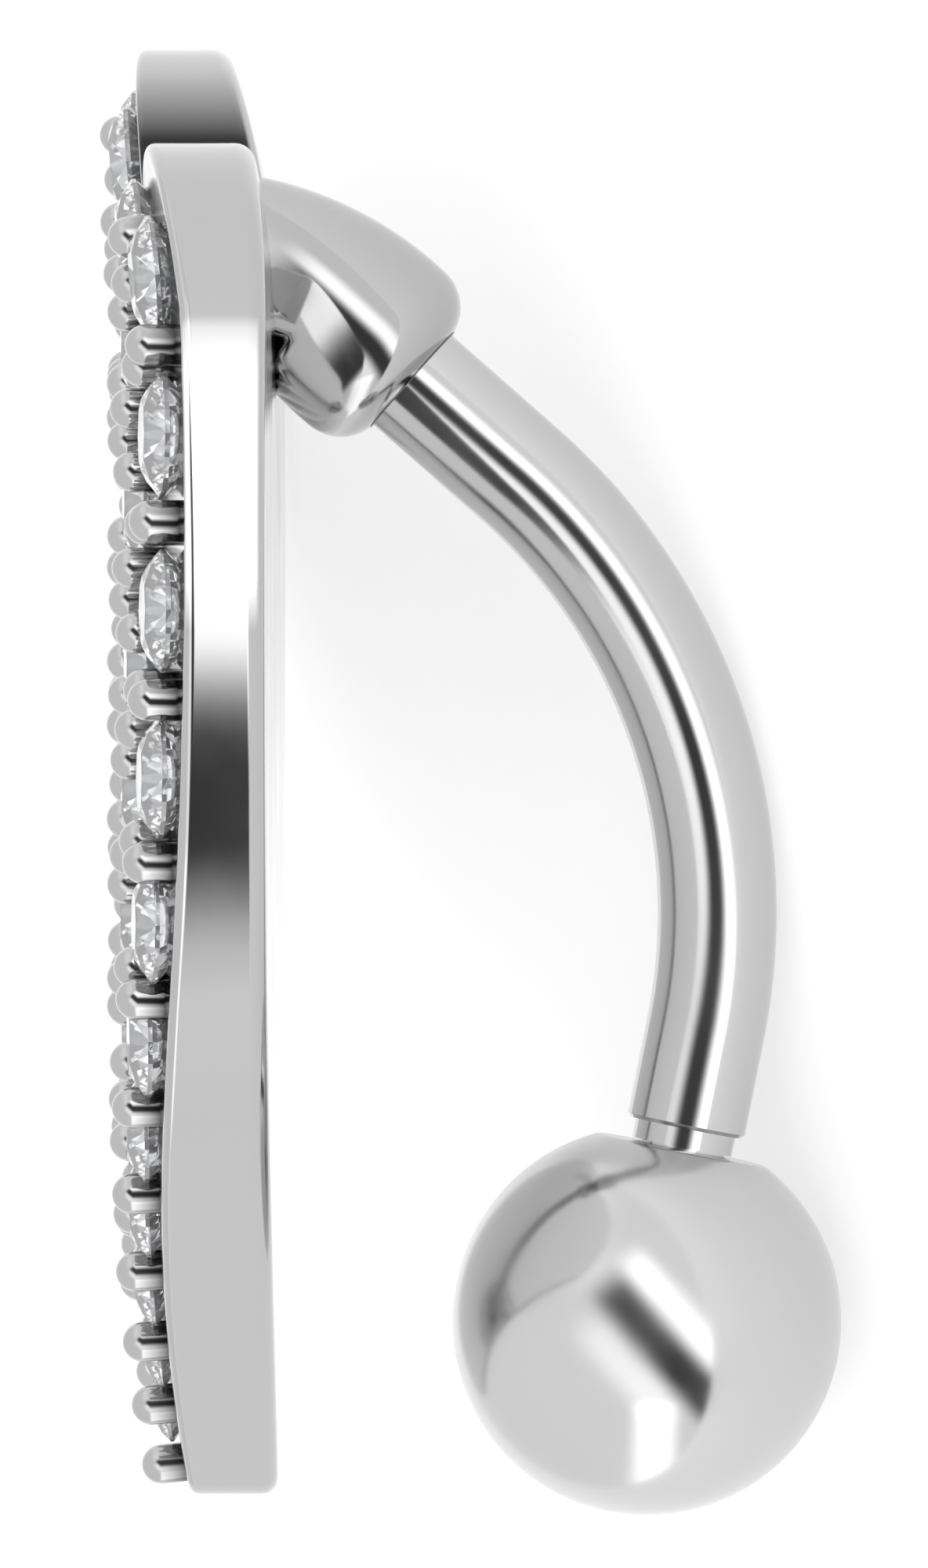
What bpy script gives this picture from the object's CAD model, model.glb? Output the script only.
"""Navel ring: looks, floor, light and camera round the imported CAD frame.

Shapes are worked out in the worn pose, in millimetres (-X front, -Y near side, +Z up), and
carried to the frame by laid(), the same turn that the CAD source gives the solids.
"""
import math

import bmesh
import bpy
import numpy as np
from mathutils import Matrix, Vector


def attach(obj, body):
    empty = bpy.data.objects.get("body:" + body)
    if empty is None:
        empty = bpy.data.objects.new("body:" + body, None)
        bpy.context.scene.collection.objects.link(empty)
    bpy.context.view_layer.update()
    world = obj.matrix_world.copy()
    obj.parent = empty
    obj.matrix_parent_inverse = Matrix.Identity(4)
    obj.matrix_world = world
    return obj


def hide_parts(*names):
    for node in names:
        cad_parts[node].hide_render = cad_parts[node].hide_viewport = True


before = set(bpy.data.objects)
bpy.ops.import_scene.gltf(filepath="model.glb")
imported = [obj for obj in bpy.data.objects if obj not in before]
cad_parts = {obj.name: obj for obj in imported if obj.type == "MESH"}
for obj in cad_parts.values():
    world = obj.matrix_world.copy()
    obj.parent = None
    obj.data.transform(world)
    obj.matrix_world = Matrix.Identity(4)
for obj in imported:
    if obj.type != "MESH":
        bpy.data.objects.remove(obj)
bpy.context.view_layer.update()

# Sizes in millimetres and degrees, as in the CAD source
HEART_W, LOBE_R, LOBE_SPREAD, LOBE_RISE = 17.0, 3.6, 8.26, 5.7
SIDE_R, TIP_HALF, TIP_R, CLEFT_DEPTH, TILT = 9.5, 42.0, 0.9, 3.0, 12.2
CROWN_T, GIRTH_R, CREST_R, CREST_Z, TOP_LEAN = 1.63, 66, 64, -2.5, 5
BEND_Z, BEND_R, BACK_X = 6.0, 12.0, -2.52
STONE_D, TIP_STONE_D, RIM_W, BORDER_COUNT, FIELD_PITCH = 1.6, 1.1, 0.36, 14, 2.2
PRONG_D, PRONG_H, GIRDLE_LIFT, PRONG_ROOT = 0.54, 0.62, 0.16, 0.3
BAR_D, BEND_BAR_R, BAR_SWEEP, END_L, NECK_L = 1.6, 7.85, 60.0, 1.36, 1.9
SOCKET_SLOPE, SOCKET_Z, SOCKET_L, SOCKET_D = 41.4, 7.04, 2.45, 2.76
SOCKET_BULGE_R, SOCKET_BELLY, LIP_R, TANG_L, SOCKET_ROOT = 5.06, 0.8, 0.66, 1.5, 0.95
BALL_D, BALL_FLAT_D, RELIEF_L, RELIEF_D, POST_D, POST_L = 5.22, 2.28, 0.3, 1.36, 1.16, 2.8
STONE_GAP, FIT_GAP, END_GAP = 0.04, 0.03, 0.04
# A seat's depth and the width of its floor as shares of its stone, and its room above the girdle
SEAT_DEPTH, SEAT_FLOOR, SEAT_ROOM = 0.45, 0.1, 0.5
REST_ROLL, REST_LEAN, REST = 102.03, 36.14, (-0.289, -0.9787, 3.3356)
# Rounding of the plate's back and front edges
BACK_EDGE, FRONT_EDGE = 0.22, 0.13
# How far the polish lays the wall's shine over to the back, in degrees
WALL_LEAN = 15.0
# Bearings of the wall, in degrees, where the cleft is dark and clear, and where the near wall lightens
CLEFT_DARK, CLEFT_CLEAR, WALL_SHINE = 38.0, 64.0, (-6, -2, 13.5, 20)
# How light the back is, and how dull the prongs' feet are, as shares of a full blend
BACK_SHINE, FOOT_DULL = 0.65, 1.7
# The photograph's height and scale in pixels, and the camera's distance from the ring
PHOTO_H, PIXELS_PER_MM, FAR = 2000, 95.0, 150.0

ROLL = Matrix.Rotation(math.radians(REST_ROLL), 3, "Y")
TURN = Matrix.Rotation(math.radians(-REST_LEAN), 3, "X") @ ROLL
TURN_NP = np.array(TURN)


def laid(points):
    """Worn-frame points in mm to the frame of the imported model, in metres."""
    return (np.asarray(points, float) @ TURN_NP.T + np.array(REST)) / 1000


def heading(v):
    """A worn-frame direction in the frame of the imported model."""
    return (TURN @ Vector(v)).normalized()


def ray(a):
    return np.array([math.cos(math.radians(a)), math.sin(math.radians(a))])


def bearing(p):
    return math.degrees(math.atan2(p[1], p[0]))


# The heart's outline in its own plane: u towards the near side, v up
lobe_angle = math.degrees(math.acos((SIDE_R + LOBE_SPREAD / 2 - HEART_W / 2) / (SIDE_R - LOBE_R)))
lobe_c = np.array([LOBE_SPREAD / 2, LOBE_RISE])
side_c = lobe_c - (SIDE_R - LOBE_R) * ray(lobe_angle)
side_low = side_c + SIDE_R * ray(-TIP_HALF)
sharp_v = side_low[1] - side_low[0] / math.tan(math.radians(TIP_HALF))
tip_c = np.array([0.0, sharp_v + TIP_R / math.sin(math.radians(TIP_HALF))])
cleft = np.array([0.0, LOBE_RISE + LOBE_R - CLEFT_DEPTH])
cleft_reach = np.linalg.norm(lobe_c - cleft)
flank_l = math.sqrt(cleft_reach ** 2 - LOBE_R ** 2)
flank_dir = bearing(lobe_c - cleft) + math.degrees(math.asin(LOBE_R / cleft_reach))
flank_angle = flank_dir + 90


def half_outline():
    """Points of the near half with their outward bearings, from the cleft to the tip."""
    rows = []
    flank_end = cleft + flank_l * ray(flank_dir)
    for f in np.linspace(0, 1, 12, endpoint=False):
        rows.append((cleft + f * (flank_end - cleft), flank_angle))
    for a in np.linspace(flank_angle, lobe_angle, 90, endpoint=False):
        rows.append((lobe_c + LOBE_R * ray(a), a))
    for a in np.linspace(lobe_angle, -TIP_HALF, 110, endpoint=False):
        rows.append((side_c + SIDE_R * ray(a), a))
    tip_start = tip_c + TIP_R * ray(-TIP_HALF)
    for f in np.linspace(0, 1, 30, endpoint=False):
        rows.append((side_low + f * (tip_start - side_low), -TIP_HALF))
    for a in np.linspace(-TIP_HALF, -90, 20):
        rows.append((tip_c + TIP_R * ray(a), a))
    return rows


near_half = half_outline()
far_half = [(np.array([-p[0], p[1]]), 180 - a) for p, a in near_half[-2:0:-1]]
OUTLINE = np.array([p for p, a in near_half + far_half])
NORMALS = np.array([ray(a) for p, a in near_half + far_half])
cos_t, sin_t = math.cos(math.radians(TILT)), math.sin(math.radians(TILT))


def to_yz(p):
    """Heart-plane points to worn y and z."""
    p = np.asarray(p, float)
    u, v = p[..., 0], p[..., 1]
    return np.stack([-(u * cos_t + v * sin_t), v * cos_t - u * sin_t], -1)


def crest_reach(y):
    """Distance from the dome's cross axis to its surface, at worn y."""
    return CREST_R - GIRTH_R + np.sqrt(GIRTH_R ** 2 - y ** 2)


def front_x(yz):
    """The dome's x at worn y and z."""
    yz = np.asarray(yz, float)
    reach = crest_reach(yz[..., 0])
    fall = np.minimum(yz[..., 1] - CREST_Z, 0)
    low = CREST_R - np.sqrt(reach ** 2 - fall ** 2)
    lean = np.radians(TOP_LEAN)
    out = reach - CREST_R + GIRTH_R
    above = yz[..., 1] - BEND_Z - GIRTH_R * np.tan(lean / 2)
    top = GIRTH_R - out / np.cos(lean) - np.tan(lean) * above
    return BACK_X - CROWN_T + np.where(yz[..., 1] > BEND_Z, top, low)


def front_normal(yz):
    yz = np.asarray(yz, float)
    g = np.arcsin(yz[..., 0] / GIRTH_R)
    rise = np.arcsin(np.minimum(yz[..., 1] - CREST_Z, 0) / crest_reach(yz[..., 0]))
    rise = np.where(yz[..., 1] > BEND_Z, -np.radians(TOP_LEAN), rise)
    return np.stack([-np.cos(g) * np.cos(rise), np.sin(g), np.cos(g) * np.sin(rise)], -1)


def back_x(yz):
    z = np.maximum(np.asarray(yz, float)[..., 1] - BEND_Z, 0)
    return BACK_X - BEND_R + np.sqrt(BEND_R ** 2 - z ** 2)


def back_normal(yz):
    z = np.maximum(np.asarray(yz, float)[..., 1] - BEND_Z, 0) / BEND_R
    return np.stack([np.sqrt(1 - z ** 2), 0 * z, z], -1)


def new_mesh(name, verts, faces, smooth=True):
    mesh = bpy.data.meshes.new(name)
    mesh.from_pydata([tuple(v) for v in laid(verts)], [], faces)
    mesh.validate()
    for p in mesh.polygons:
        p.use_smooth = smooth
    obj = bpy.data.objects.new(name, mesh)
    bpy.context.scene.collection.objects.link(obj)
    return obj


def plate_mesh():
    """The plate's rings from the middle of the back, round the rounded edges, to the front."""
    count = len(OUTLINE)
    centre = np.array([0.0, 1.0])
    rings, faces = [], []

    def ring(inset, share, where):
        p = OUTLINE - inset * NORMALS
        p = centre + share * (p - centre)
        yz = to_yz(p)
        rings.append(np.column_stack([where(yz), yz]))

    shares = [0.04, 0.12, 0.25, 0.4, 0.55, 0.7, 0.8, 0.88, 0.94, 0.98]
    for s in shares:
        ring(BACK_EDGE, s, back_x)
    for a in np.linspace(90, 0, 7):
        up, out = math.sin(math.radians(a)), math.cos(math.radians(a))
        ring(BACK_EDGE * (1 - out), 1, lambda yz, up=up: back_x(yz) - BACK_EDGE * (1 - up))
    for f in np.linspace(0, 1, 5)[1:-1]:
        ring(0, 1, lambda yz, f=f: (1 - f) * (back_x(yz) - BACK_EDGE) + f * (front_x(yz) + FRONT_EDGE))
    for a in np.linspace(0, 90, 6):
        up, out = math.sin(math.radians(a)), math.cos(math.radians(a))
        ring(FRONT_EDGE * (1 - out), 1, lambda yz, up=up: front_x(yz) + FRONT_EDGE * (1 - up))
    for s in shares[::-1]:
        ring(FRONT_EDGE, s, front_x)
    verts = np.vstack(rings)
    for k in range(len(rings) - 1):
        for i in range(count):
            j = (i + 1) % count
            faces.append((k * count + i, k * count + j, (k + 1) * count + j, (k + 1) * count + i))
    faces.append(tuple(range(count))[::-1])
    last = (len(rings) - 1) * count
    faces.append(tuple(range(last, last + count)))
    return verts, faces


# Border and field stones, as in the CAD source
row_inset = RIM_W + STONE_D / 2
row_lobe_r, row_side_r = LOBE_R - row_inset, SIDE_R - row_inset
row_start = cleft - np.array([0, row_inset / math.cos(math.radians(flank_dir))])
row_flank_l = flank_l + row_inset * math.tan(math.radians(flank_dir))
row_lobe_l = row_lobe_r * math.radians(flank_angle - lobe_angle)
row_side_l = row_side_r * math.radians(lobe_angle + TIP_HALF)
row_low = side_c + row_side_r * ray(-TIP_HALF)
row_l = row_flank_l + row_lobe_l + row_side_l + row_low[0] / math.sin(math.radians(TIP_HALF))


def row_point(s):
    if s < row_flank_l:
        return row_start + s * ray(flank_dir)
    if s < row_flank_l + row_lobe_l:
        return lobe_c + row_lobe_r * ray(flank_angle - math.degrees((s - row_flank_l) / row_lobe_r))
    if s < row_flank_l + row_lobe_l + row_side_l:
        turn = math.degrees((s - row_flank_l - row_lobe_l) / row_side_r)
        return side_c + row_side_r * ray(lobe_angle - turn)
    return row_low + (s - row_flank_l - row_lobe_l - row_side_l) * ray(-TIP_HALF - 90)


def edge_gap(p):
    """Distance from a point inside the heart to its edge."""
    return float(np.min(np.linalg.norm(OUTLINE - np.asarray(p), axis=1)))


half_row = []
for i in range(BORDER_COUNT):
    f = i / (BORDER_COUNT - 1)
    at = row_point(row_l * (f + 0.16 * (f - f ** 3)))
    half_row.append((at, STONE_D - (STONE_D - TIP_STONE_D) * f ** 3))
border = half_row + [(np.array([-p[0], p[1]]), d) for p, d in half_row[-2:0:-1]]
row_room = 0.55
field_gap = RIM_W + 1.5 * STONE_D + row_room * PRONG_D
line_step = FIELD_PITCH * math.sin(math.radians(60))
field_top = row_start[1] - STONE_D - row_room * PRONG_D
lattice = [
    np.array([(i + (j % 2) / 2) * FIELD_PITCH, field_top - j * line_step])
    for j in range(-2, math.ceil((field_top - sharp_v) / line_step) + 1)
    for i in range(-4, 5)
]


def inside(p):
    x, y = OUTLINE[:, 0] - p[0], OUTLINE[:, 1] - p[1]
    turn = np.arctan2(x * np.roll(y, -1) - y * np.roll(x, -1), x * np.roll(x, -1) + y * np.roll(y, -1))
    return abs(turn.sum()) > 3


field = [(p, STONE_D) for p in lattice if inside(p) and edge_gap(p) > field_gap]
prong_r = PRONG_D / 2


def near(q, places):
    return min(np.linalg.norm(q - p) for p in places)


border_prongs = []
for (a, da), (b, db) in zip(half_row[:-1], half_row[1:]):
    step = b - a
    reach = (da + db) / 4 + prong_r + STONE_GAP
    length = np.linalg.norm(step)
    shift = max(0.56 * PRONG_D, math.sqrt(max(0, reach ** 2 - length ** 2 / 4)))
    for side in (1, -1):
        q = (a + b) / 2 + side * shift * np.array([-step[1], step[0]]) / length
        border_prongs.append(np.array([0, q[1]]) if abs(q[0]) < 0.56 * PRONG_D else q)
end_prongs = [
    half_row[0][0] + np.array([0, half_row[0][1] / 2 + prong_r + STONE_GAP]),
    half_row[-1][0] - np.array([0, half_row[-1][1] / 2 + prong_r + STONE_GAP]),
]
field_prongs = []
for p in lattice:
    for side in (1, -1):
        q = p + np.array([FIELD_PITCH / 2, side * line_step / 3])
        if (q[0] > -prong_r and near(q, [s[0] for s in field]) < 0.6 * FIELD_PITCH
                and near(q, [s[0] for s in half_row]) > (STONE_D + PRONG_D) / 2 + STONE_GAP
                and near(q, border_prongs) > PRONG_D):
            field_prongs.append(q)
half_prongs = border_prongs + end_prongs + field_prongs
prongs = half_prongs + [np.array([-p[0], p[1]]) for p in half_prongs if p[0] > prong_r / 2]


def dome_seat(place):
    """Where a place of the heart lies on the dome, and the outward direction there."""
    yz = to_yz(place)
    return np.array([front_x(yz), yz[0], yz[1]]), front_normal(yz)


def revolve(profile, base, axis, steps=48):
    """Turns (radius, height) rows about an axis from base; rows of radius 0 close the ends."""
    axis = np.asarray(axis, float) / np.linalg.norm(axis)
    side = np.cross(axis, [0.0, 1.0, 0.0] if abs(axis[1]) < 0.9 else [1.0, 0.0, 0.0])
    side /= np.linalg.norm(side)
    other = np.cross(axis, side)
    verts, faces, starts = [], [], []
    for r, h in profile:
        starts.append(len(verts))
        if r < 1e-9:
            verts.append(base + h * axis)
        else:
            for k in range(steps):
                a = 2 * math.pi * k / steps
                verts.append(base + h * axis + r * (math.cos(a) * side + math.sin(a) * other))
    for n in range(len(profile) - 1):
        a0, b0 = starts[n], starts[n + 1]
        for k in range(steps):
            j = (k + 1) % steps
            if profile[n][0] < 1e-9:
                faces.append((a0, b0 + k, b0 + j))
            elif profile[n + 1][0] < 1e-9:
                faces.append((a0 + k, b0, a0 + j))
            else:
                faces.append((a0 + k, b0 + k, b0 + j, a0 + j))
    return verts, faces


def fix_normals(obj):
    bm = bmesh.new()
    bm.from_mesh(obj.data)
    bmesh.ops.recalc_face_normals(bm, faces=bm.faces)
    bm.to_mesh(obj.data)
    bm.free()


def joined(name, parts, smooth=True):
    verts, faces = [], []
    for v, f in parts:
        base = len(verts)
        verts += [tuple(p) for p in v]
        faces += [tuple(i + base for i in face) for face in f]
    obj = new_mesh(name, verts, faces, smooth)
    fix_normals(obj)
    return obj


def smooth_by_angle(obj, degrees):
    """Sharp edges where the faces turn by more than the angle, smooth elsewhere."""
    bm = bmesh.new()
    bm.from_mesh(obj.data)
    limit = math.radians(degrees)
    for e in bm.edges:
        e.smooth = len(e.link_faces) != 2 or e.calc_face_angle(0) < limit
    for f in bm.faces:
        f.smooth = True
    bm.to_mesh(obj.data)
    bm.free()


# Plate with its seats cut
plate_v, plate_f = plate_mesh()
plate = new_mesh("plate", plate_v, plate_f)
fix_normals(plate)
seats = []
for place, d in border + field:
    at, out = dome_seat(place)
    low = GIRDLE_LIFT - SEAT_DEPTH * d - 1.6 * STONE_GAP
    top = GIRDLE_LIFT + SEAT_ROOM
    wide = d / 2 + STONE_GAP
    rows = [(0, low), (SEAT_FLOOR * d, low), (wide, GIRDLE_LIFT), (wide, top), (0, top)]
    seats.append(revolve(rows, at, out, 40))
cutter = joined("seat_cutter", seats)
cut = plate.modifiers.new("seats", "BOOLEAN")
cut.operation = "DIFFERENCE"
cut.solver = "EXACT"
cut.object = cutter
bpy.context.view_layer.update()
cut_mesh = bpy.data.meshes.new_from_object(plate.evaluated_get(bpy.context.evaluated_depsgraph_get()))
plate.modifiers.clear()
plate.data = cut_mesh
bpy.data.objects.remove(cutter)


def true_normals(obj):
    """Normals of the real smooth surfaces, worked out from where each corner lies."""
    mesh = obj.data
    worn = (np.array([v.co for v in mesh.vertices]) * 1000 - np.array(REST)) @ TURN_NP
    u = -(worn[:, 1] * cos_t) - worn[:, 2] * sin_t
    v = worn[:, 2] * cos_t - worn[:, 1] * sin_t
    uv = np.column_stack([u, v])
    near_i = np.array([np.argmin(((OUTLINE - p) ** 2).sum(1)) for p in uv])
    inset = ((OUTLINE[near_i] - uv) * NORMALS[near_i]).sum(1)
    yz = worn[:, 1:]
    to_front, to_back = worn[:, 0] - front_x(yz), back_x(yz) - worn[:, 0]
    wall2 = NORMALS[near_i]
    wall = np.column_stack([0 * u + math.tan(math.radians(WALL_LEAN)), to_yz(wall2)])
    wall *= math.cos(math.radians(WALL_LEAN))
    front, back = front_normal(yz), back_normal(yz)
    out = []
    for poly in mesh.polygons:
        flat = np.array(TURN.transposed() @ poly.normal)
        for li in poly.loop_indices:
            i = mesh.loops[li].vertex_index
            n = flat
            if inset[i] < BACK_EDGE + 0.02 and to_back[i] < BACK_EDGE + 0.01:
                w = min(max((BACK_EDGE - inset[i]) / BACK_EDGE, 0), 1)
                n = w * wall[i] + math.sqrt(1 - w * w) * back[i]
            elif inset[i] < FRONT_EDGE + 0.02 and to_front[i] < FRONT_EDGE + 0.01:
                w = min(max((FRONT_EDGE - inset[i]) / FRONT_EDGE, 0), 1)
                n = w * wall[i] + math.sqrt(1 - w * w) * front[i]
            elif inset[i] < 0.01:
                n = wall[i]
            elif to_front[i] < 0.004 and flat @ front[i] > 0.95:
                n = front[i]
            elif to_back[i] < 0.004 and flat @ back[i] > 0.95:
                n = back[i]
            out.append(tuple(TURN @ Vector(n).normalized()))
    for p in mesh.polygons:
        p.use_smooth = True
    mesh.normals_split_custom_set(out)
    # The far lobe's wall darkens down into the cleft, by the wall's bearing in degrees
    lean = np.degrees(np.arctan2(wall[:, 2], -wall[:, 1]))
    on_wall = inset < 0.06
    in_cleft = (u < -0.2) * (v > LOBE_RISE - 1) * on_wall * (lean > -60)
    shade = np.clip((CLEFT_CLEAR - lean) / (CLEFT_CLEAR - CLEFT_DARK), 0, 1) * in_cleft
    # The near wall is lighter on its widest part, and the flat back has a lighter polish
    shine = np.interp(lean, WALL_SHINE, (0, 1, 1, 0)) * (u > 0.2) * on_wall
    shine = np.maximum(shine, BACK_SHINE * (to_back < 0.01) * (inset > BACK_EDGE - 0.02))
    for name, values in (("recess", shade ** 1.3), ("shine", shine)):
        stored = mesh.attributes.new(name, "FLOAT", "POINT")
        stored.data.foreach_set("value", values.astype(np.float32))


true_normals(plate)

# Prongs, each a post with a bead for its head
PRONG_STEPS = 24
bead = [(prong_r, PRONG_H - prong_r)] + [
    (prong_r * math.cos(math.radians(a)), PRONG_H - prong_r + prong_r * math.sin(math.radians(a)))
    for a in np.linspace(0, 90, 9)[1:-1]
]
prong_parts = []
for place in prongs:
    at, out = dome_seat(place)
    foot = [(0, -PRONG_ROOT), (prong_r, -PRONG_ROOT)]
    prong_parts.append(revolve(foot + bead + [(0, PRONG_H)], at, out, PRONG_STEPS))
prong_obj = joined("prongs", prong_parts)
smooth_by_angle(prong_obj, 50)
# The feet between the stones are duller: a prong's first points are its foot's middle and ring
foot_dull = np.zeros((len(prongs), len(prong_parts[0][0])), np.float32)
foot_dull[:, :PRONG_STEPS + 1] = FOOT_DULL
stored = prong_obj.data.attributes.new("recess", "FLOAT", "POINT")
stored.data.foreach_set("value", foot_dull.ravel())

# Socket, turned about the bar's line
socket_dir2 = ray(-SOCKET_SLOPE)
socket_dir = np.array([socket_dir2[0], 0, socket_dir2[1]])
mouth2 = np.array([BACK_X, SOCKET_Z]) + SOCKET_L * socket_dir2
mouth = np.array([mouth2[0], 0, mouth2[1]])
belly_r = SOCKET_D / 2
profile = [(0, -SOCKET_L - SOCKET_ROOT)]
for h in np.linspace(-SOCKET_L - SOCKET_ROOT, -LIP_R, 40):
    bulge = math.sqrt(SOCKET_BULGE_R ** 2 - (h + SOCKET_BELLY) ** 2)
    profile.append((belly_r - SOCKET_BULGE_R + bulge, h))
lip_out = profile[-1][0]
for a in np.linspace(0, 90, 12)[1:]:
    out, up = LIP_R * ray(a)
    profile.append((lip_out - LIP_R + out, up - LIP_R))
bore_r, bore_break = BAR_D / 2 + FIT_GAP, 0.03
profile += [(bore_r + bore_break, 0), (bore_r, -bore_break)]
profile += [(bore_r, -TANG_L - END_GAP), (0, -TANG_L - END_GAP)]
socket = joined("socket", [revolve(profile, mouth, socket_dir, 96)])
smooth_by_angle(socket, 40)

# The bar: tang, bend, straight end, relief and post along one line
bow_start = mouth2 + NECK_L * socket_dir2
bow_c = bow_start - BEND_BAR_R * ray(90 - SOCKET_SLOPE)
end_slope = SOCKET_SLOPE + BAR_SWEEP
end_dir2 = ray(-end_slope)
bow_end = bow_c + BEND_BAR_R * ray(90 - end_slope)
bar_end = bow_end + END_L * end_dir2
path = [(mouth2 - TANG_L * socket_dir2, socket_dir2), (mouth2, socket_dir2)]
for a in np.linspace(90 - SOCKET_SLOPE, 90 - end_slope, 64):
    path.append((bow_c + BEND_BAR_R * ray(a), ray(a - 90)))
chamfer = 0.05
path.append((bar_end - chamfer * end_dir2, end_dir2))
radii = [BAR_D / 2] * len(path)
for r, h in ((BAR_D / 2 - chamfer, 0), (RELIEF_D / 2, 0), (RELIEF_D / 2, RELIEF_L - END_GAP),
             (POST_D / 2, RELIEF_L - END_GAP), (POST_D / 2, RELIEF_L + POST_L)):
    path.append((bar_end + h * end_dir2, end_dir2))
    radii.append(r)
steps = 64
bar_v, bar_f = [], []
for (p, d), r in zip(path, radii):
    across = np.array([-d[1], 0, d[0]])
    for k in range(steps):
        a = 2 * math.pi * k / steps
        round_it = math.cos(a) * across + math.sin(a) * np.array([0, 1, 0])
        bar_v.append(np.array([p[0], 0, p[1]]) + r * round_it)
for n in range(len(path) - 1):
    for k in range(steps):
        j = (k + 1) % steps
        bar_f.append((n * steps + k, n * steps + j, (n + 1) * steps + j, (n + 1) * steps + k))
bar_f.append(tuple(range(steps))[::-1])
bar_f.append(tuple(range((len(path) - 1) * steps, len(path) * steps)))
bar = joined("bar", [(bar_v, bar_f)])
smooth_by_angle(bar, 30)

# The ball: a sphere with a flat and a plain bore
ball_seat = math.sqrt(BALL_D ** 2 - BALL_FLAT_D ** 2) / 2
ball_c2 = bar_end + (RELIEF_L + ball_seat) * end_dir2
ball_c = np.array([ball_c2[0], 0, ball_c2[1]])
end_dir = np.array([end_dir2[0], 0, end_dir2[1]])
rb, edge = BALL_D / 2, 0.04
hole_r = POST_D / 2 + FIT_GAP
hole_end = -ball_seat + POST_L + END_GAP
flat_a = math.degrees(math.asin(BALL_FLAT_D / 2 / rb))
profile = [(0, hole_end), (hole_r, hole_end), (hole_r, -ball_seat)]
profile.append((BALL_FLAT_D / 2 - edge, -ball_seat))
for a in np.linspace(180 - flat_a - 0.6, 0, 90):
    profile.append((rb * math.sin(math.radians(a)) if a > 0 else 0, rb * math.cos(math.radians(a))))
ball = joined("ball_skin", [revolve(profile, ball_c, end_dir, 128)])
smooth_by_angle(ball, 25)


# Materials
def material(name):
    """A new material and its shader."""
    mat = bpy.data.materials.new(name)
    mat.use_nodes = True
    return mat, mat.node_tree.nodes["Principled BSDF"]


def noise(mat, scale, detail):
    """A noise over the piece's own coordinates."""
    nodes, links = mat.node_tree.nodes, mat.node_tree.links
    place = nodes.new("ShaderNodeTexCoord")
    node = nodes.new("ShaderNodeTexNoise")
    node.inputs["Scale"].default_value = scale
    node.inputs["Detail"].default_value = detail
    links.new(place.outputs["Object"], node.inputs["Vector"])
    return node.outputs["Fac"]


def wandering_polish(mat, bsdf, value, given, wanted):
    """Lets the roughness follow a noise: its range given becomes the range wanted."""
    spread = mat.node_tree.nodes.new("ShaderNodeMapRange")
    spread.inputs["From Min"].default_value, spread.inputs["From Max"].default_value = given
    spread.inputs["To Min"].default_value, spread.inputs["To Max"].default_value = wanted
    mat.node_tree.links.new(value, spread.inputs["Value"])
    mat.node_tree.links.new(spread.outputs["Result"], bsdf.inputs["Roughness"])


def steel(name, tone, rough, scale):
    """Mirror-polished steel, with a polish that wanders softly and a trace of waviness."""
    mat, bsdf = material(name)
    bsdf.inputs["Metallic"].default_value = 1.0
    bsdf.inputs["Base Color"].default_value = (tone, tone, tone * 1.005, 1)
    wandering_polish(mat, bsdf, noise(mat, 420, 3), (0.3, 0.7), (rough * 0.6, rough * 1.6))
    bump = mat.node_tree.nodes.new("ShaderNodeBump")
    bump.inputs["Strength"].default_value = 0.06
    bump.inputs["Distance"].default_value = 0.00001
    mat.node_tree.links.new(noise(mat, scale, 4), bump.inputs["Height"])
    mat.node_tree.links.new(bump.outputs["Normal"], bsdf.inputs["Normal"])
    return mat


def toned(mat, name, grey, colour=None):
    """Blends a colour, or else the steel's own, to a grey by a value stored on the mesh."""
    nodes, links = mat.node_tree.nodes, mat.node_tree.links
    base = nodes["Principled BSDF"].inputs["Base Color"]
    stored = nodes.new("ShaderNodeAttribute")
    stored.attribute_name = name
    blend = nodes.new("ShaderNodeMix")
    blend.data_type = "RGBA"
    blend.inputs["A"].default_value = base.default_value
    blend.inputs["B"].default_value = (grey, grey, grey, 1)
    if colour:
        links.new(colour, blend.inputs["A"])
    links.new(stored.outputs["Fac"], blend.inputs["Factor"])
    links.new(blend.outputs["Result"], base)
    return blend.outputs["Result"]


def clear_stone():
    """A clear faceted stone: strong refraction, and faint dust on the facets."""
    mat, bsdf = material("clear_stone_look")
    bsdf.inputs["Base Color"].default_value = (0.98, 0.985, 1.0, 1)
    bsdf.inputs["Transmission Weight"].default_value = 0.88
    bsdf.inputs["IOR"].default_value = 2.0
    wandering_polish(mat, bsdf, noise(mat, 3000, 2), (0.5, 0.8), (0.0, 0.04))
    return mat


def table_top():
    """A pale table, faintly lit from within."""
    mat, bsdf = material("floor_paper")
    bsdf.inputs["Base Color"].default_value = (0.5, 0.5, 0.5, 1)
    bsdf.inputs["Roughness"].default_value = 0.7
    bsdf.inputs["Emission Color"].default_value = (1, 1, 1, 1)
    bsdf.inputs["Emission Strength"].default_value = 0.56
    return mat


plate_steel = steel("plate_steel", 0.43, 0.1, 900)
toned(plate_steel, "shine", 0.98, toned(plate_steel, "recess", 0.03))
bar_steel = steel("bar_steel", 0.52, 0.1, 1400)
ball_steel = steel("ball_steel", 0.53, 0.17, 1100)
gem = clear_stone()

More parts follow.
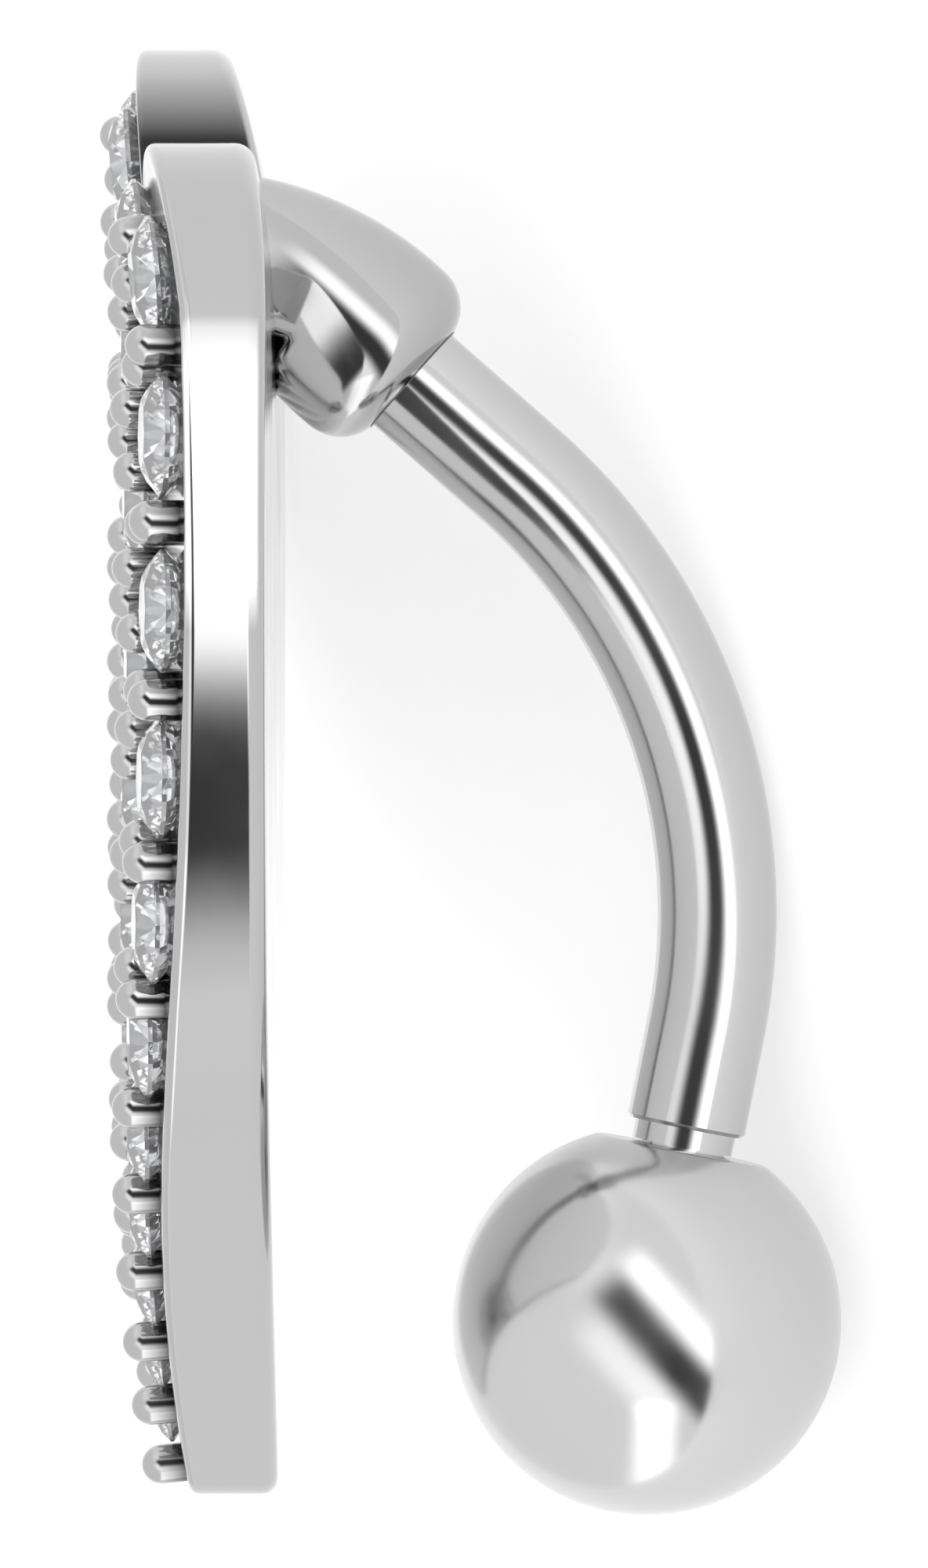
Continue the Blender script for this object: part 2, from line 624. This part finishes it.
# Each made piece with its body, the node that it stands for and its steel
for obj, body, node, mat in (
    (plate, "jewel", "heart_plate", plate_steel),
    (prong_obj, "jewel", "heart_plate", plate_steel),
    (socket, "jewel", "heart_plate", plate_steel),
    (bar, "jewel", "curved_bar", bar_steel),
    (ball, "ball", "ball", ball_steel),
):
    obj.data.materials.clear()
    obj.data.materials.append(mat)
    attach(obj, body)
    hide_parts(node)
for name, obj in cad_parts.items():
    if "stone" in name:
        obj.data.materials.clear()
        obj.data.materials.append(gem)

# Floor
bpy.ops.mesh.primitive_plane_add(size=3, location=(0, 0, 0))
floor = bpy.context.object
floor.name = "floor"
floor.data.materials.append(table_top())

# Studio: a pale surround with bright panels, one dark flag and a dark spot
world = bpy.data.worlds.new("studio")
bpy.context.scene.world = world
world.use_nodes = True
nodes, links = world.node_tree.nodes, world.node_tree.links
background = nodes["Background"]
where = nodes.new("ShaderNodeTexCoord")


def math_node(kind, a, b=None, clamp=False):
    """One maths step; each input is a number or another node's output."""
    node = nodes.new("ShaderNodeMath")
    node.operation = kind
    node.use_clamp = clamp
    for socket_in, value in zip(node.inputs, (a, b)):
        if isinstance(value, (int, float)):
            socket_in.default_value = value
        elif value is not None:
            links.new(value, socket_in)
    return node.outputs[0]


def along_line(vector, direction):
    """How far the vector reaches along a worn direction."""
    dot = nodes.new("ShaderNodeVectorMath")
    dot.operation = "DOT_PRODUCT"
    dot.inputs[1].default_value = heading(direction)
    links.new(vector, dot.inputs[0])
    return dot.outputs["Value"]


def ramp_down(value, full, gone):
    """1 up to full, 0 from gone on, smooth between."""
    node = nodes.new("ShaderNodeMapRange")
    node.interpolation_type = "SMOOTHSTEP"
    node.inputs["From Min"].default_value = full
    node.inputs["From Max"].default_value = gone
    node.inputs["To Min"].default_value = 1.0
    node.inputs["To Max"].default_value = 0.0
    links.new(value, node.inputs["Value"])
    return node.outputs["Result"]


def strip(s, t, box, edge_s, edge_t, strength):
    """A soft-edged rectangle in s and t: box is (s0, s1, t0, t1)."""
    s0, s1, t0, t1 = box
    off_s = math_node("ABSOLUTE", math_node("SUBTRACT", s, (s0 + s1) / 2))
    off_t = math_node("ABSOLUTE", math_node("SUBTRACT", t, (t0 + t1) / 2))
    in_s = ramp_down(off_s, (s1 - s0) / 2 - edge_s, (s1 - s0) / 2 + edge_s)
    in_t = ramp_down(off_t, (t1 - t0) / 2 - edge_t, (t1 - t0) / 2 + edge_t)
    return math_node("MULTIPLY", math_node("MULTIPLY", in_s, in_t), strength)


# A mirror facing halfway between a direction and the shooting side shows that direction, so
# the studio is drawn by where a ball would show it, in shares of the ball's radius
half = nodes.new("ShaderNodeVectorMath")
half.operation = "ADD"
half.inputs[1].default_value = heading((0, -1, 0))
links.new(where.outputs["Generated"], half.inputs[0])
unit = nodes.new("ShaderNodeVectorMath")
unit.operation = "NORMALIZE"
links.new(half.outputs[0], unit.inputs[0])
face = unit.outputs[0]
s = math_node("SUBTRACT", along_line(face, (0.66, 0, -0.751)), 0.047)
t = math_node("ADD", along_line(face, (0.751, 0, 0.66)), 0.025)
flat_s = along_line(face, (1, 0, 0))
flat_t = along_line(face, (0, 0, 1))
base = ramp_down(along_line(where.outputs["Generated"], (0, 1, 0)), -0.2, 0.9)
lit = math_node("ADD", math_node("MULTIPLY", base, 0.06), 1.1)
for patch in (
    strip(s, t, (-0.36, 0.5, 0.1, 0.25), 0.09, 0.05, 1.2),
    strip(s, t, (-0.25, 0.36, -0.29, -0.12), 0.12, 0.07, 0.6),
    strip(flat_s, flat_t, (-0.06, 0.13, -0.86, -0.4), 0.05, 0.035, 1.1),
    strip(flat_s, flat_t, (-0.42, -0.2, 0.2, 0.75), 0.12, 0.12, 0.3),
):
    lit = math_node("ADD", lit, patch)
flag = strip(s, t, (-0.34, 0.54, -0.1, 0.1), 0.08, 0.055, 0.94)
spot = strip(s, t, (0.58, 0.8, -0.08, 0.06), 0.06, 0.05, 0.4)
shade = math_node("SUBTRACT", 1.0, math_node("MAXIMUM", flag, spot))
links.new(math_node("MULTIPLY", lit, shade), background.inputs["Color"])
background.inputs["Strength"].default_value = 1.0


def area(name, direction, reach, size, power):
    light = bpy.data.lights.new(name, "AREA")
    light.shape = "RECTANGLE"
    light.size, light.size_y = size
    light.energy = power
    obj = bpy.data.objects.new(name, light)
    bpy.context.scene.collection.objects.link(obj)
    way = heading(direction)
    obj.location = way * reach
    obj.rotation_euler = way.to_track_quat("Z", "Y").to_euler()
    return obj


# A broad lamp behind the camera lights the floor, and the steel shows only the surround
fill = area("fill", (-0.12, -1, 0.1), 0.9, (0.8, 0.8), 2.0)
fill.visible_glossy = False

# Camera at the photograph's place
camera = bpy.data.cameras.new("camera")
camera.sensor_fit = "VERTICAL"
camera.sensor_height = 24
camera.lens = camera.sensor_height * FAR / (PHOTO_H / PIXELS_PER_MM)
camera.clip_start, camera.clip_end = 0.01, 20
cam = bpy.data.objects.new("camera", camera)
bpy.context.scene.collection.objects.link(cam)
right, up, behind = heading((1, 0, 0)), heading((0, 0, 1)), heading((0, -1, 0))
pose = Matrix((right, up, behind)).transposed().to_4x4()
pose.translation = Vector(laid([(0, -FAR, 0)])[0])
cam.matrix_world = pose
bpy.context.scene.camera = cam
bpy.context.scene.view_settings.view_transform = "Standard"
